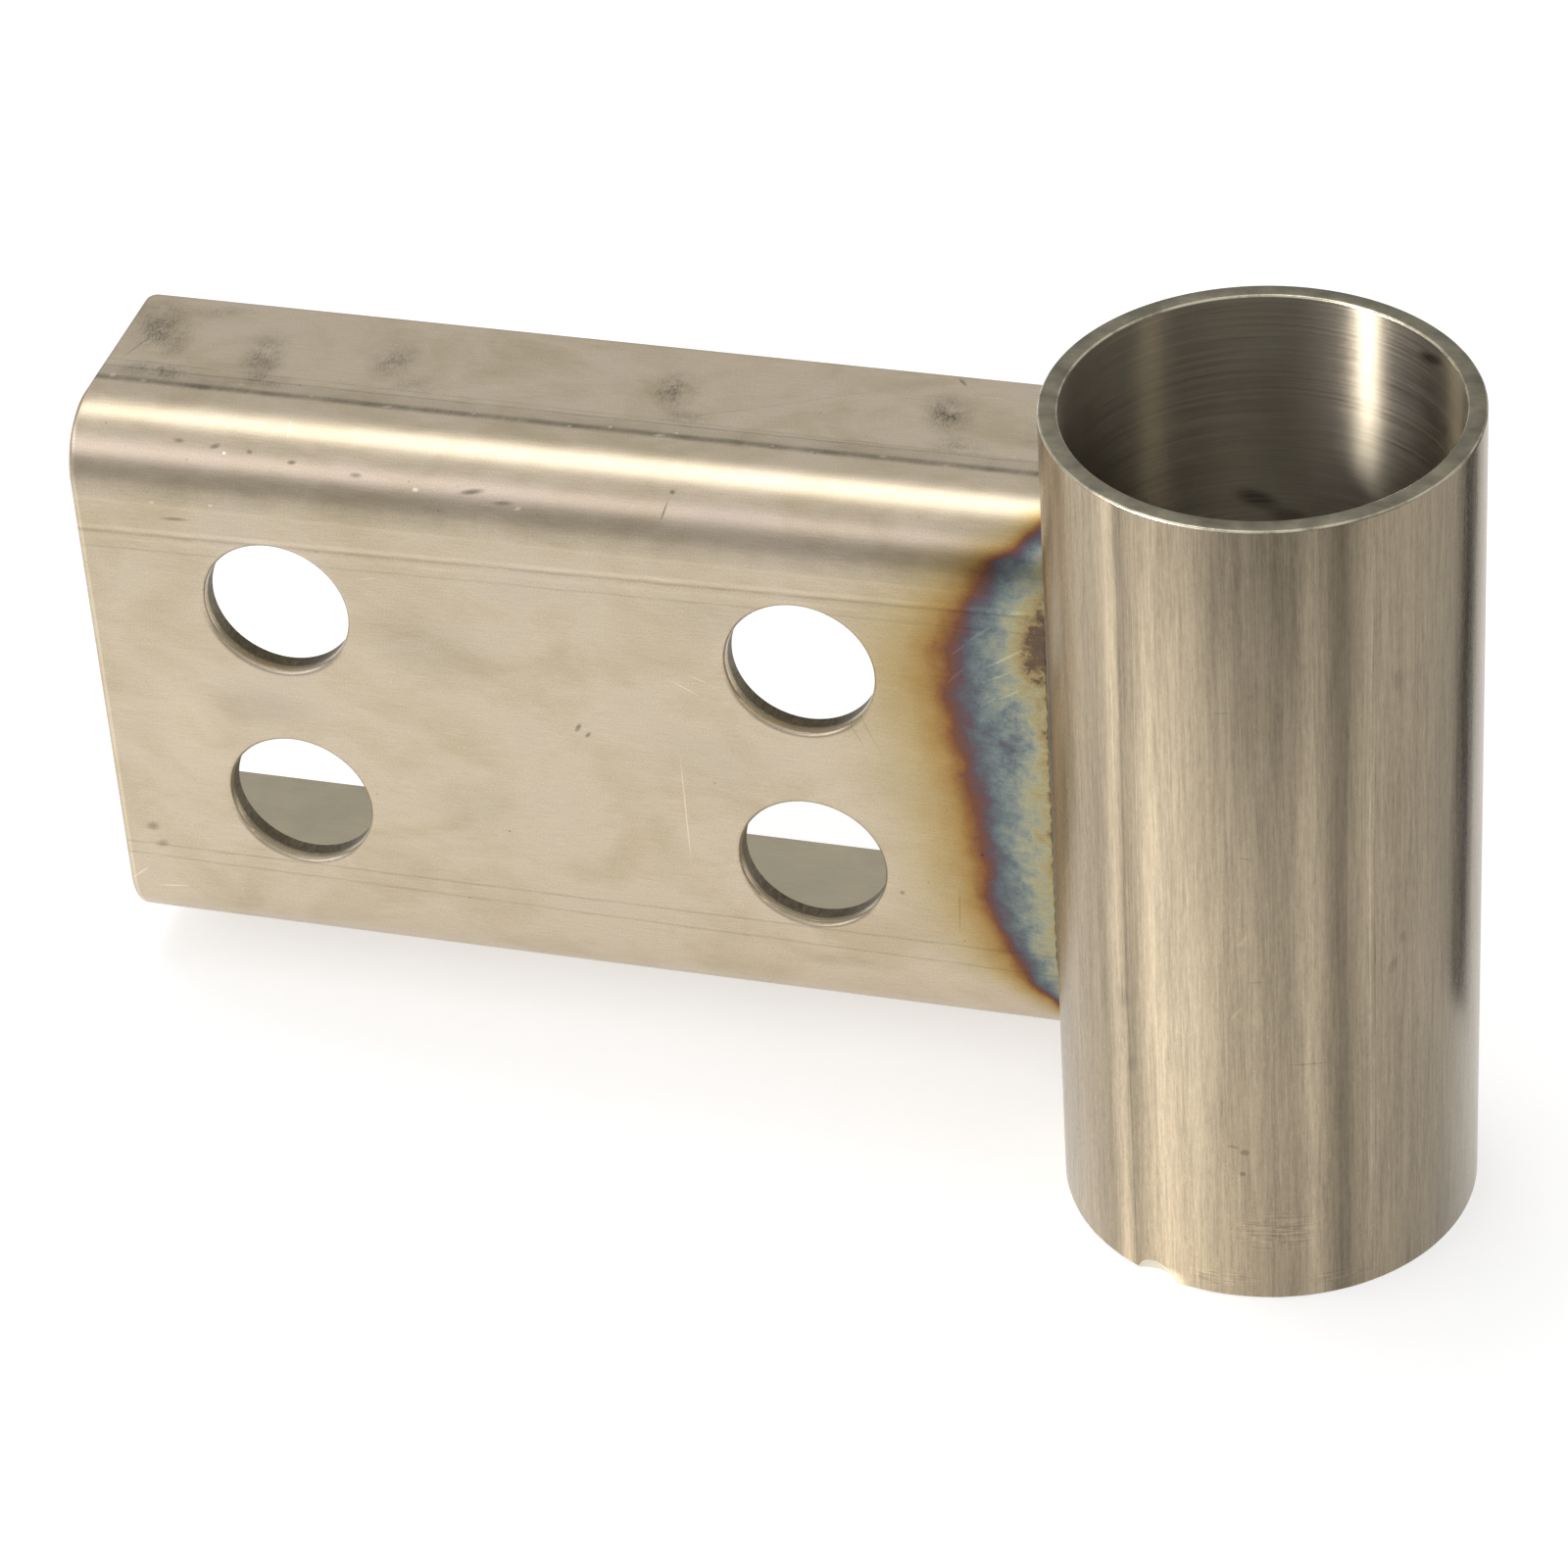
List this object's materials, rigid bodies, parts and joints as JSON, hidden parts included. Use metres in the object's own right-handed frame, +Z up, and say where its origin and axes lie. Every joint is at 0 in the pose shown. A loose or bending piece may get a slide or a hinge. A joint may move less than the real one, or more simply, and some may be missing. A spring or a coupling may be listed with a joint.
{
  "type": "door pivot hinge",
  "caption": "Stainless steel door pivot bracket: a folded channel with punched bolt holes, fillet-welded to the side of a round pivot tube.",
  "frame": {"origin": "centre of the pivot tube's bore, halfway up the tube", "axes": "+Z up the tube's axis; the channel reaches out towards -X; the front of its web faces -Y and its flanges point towards +Y"},
  "size_m": [0.1492, 0.0557, 0.0934],
  "materials": {
    "tube_stainless": "drawn welded tube, as milled, with lengthwise lines",
    "sheet_stainless": "mill-finished sheet, with heat tint beside the weld",
    "weld_metal": "rippled fillet weld, not ground"
  },
  "bodies": {
    "root": {"pivot_tube": "tube_stainless", "channel_bracket": "sheet_stainless", "fillet_weld": "weld_metal"}
  },
  "joints": []
}
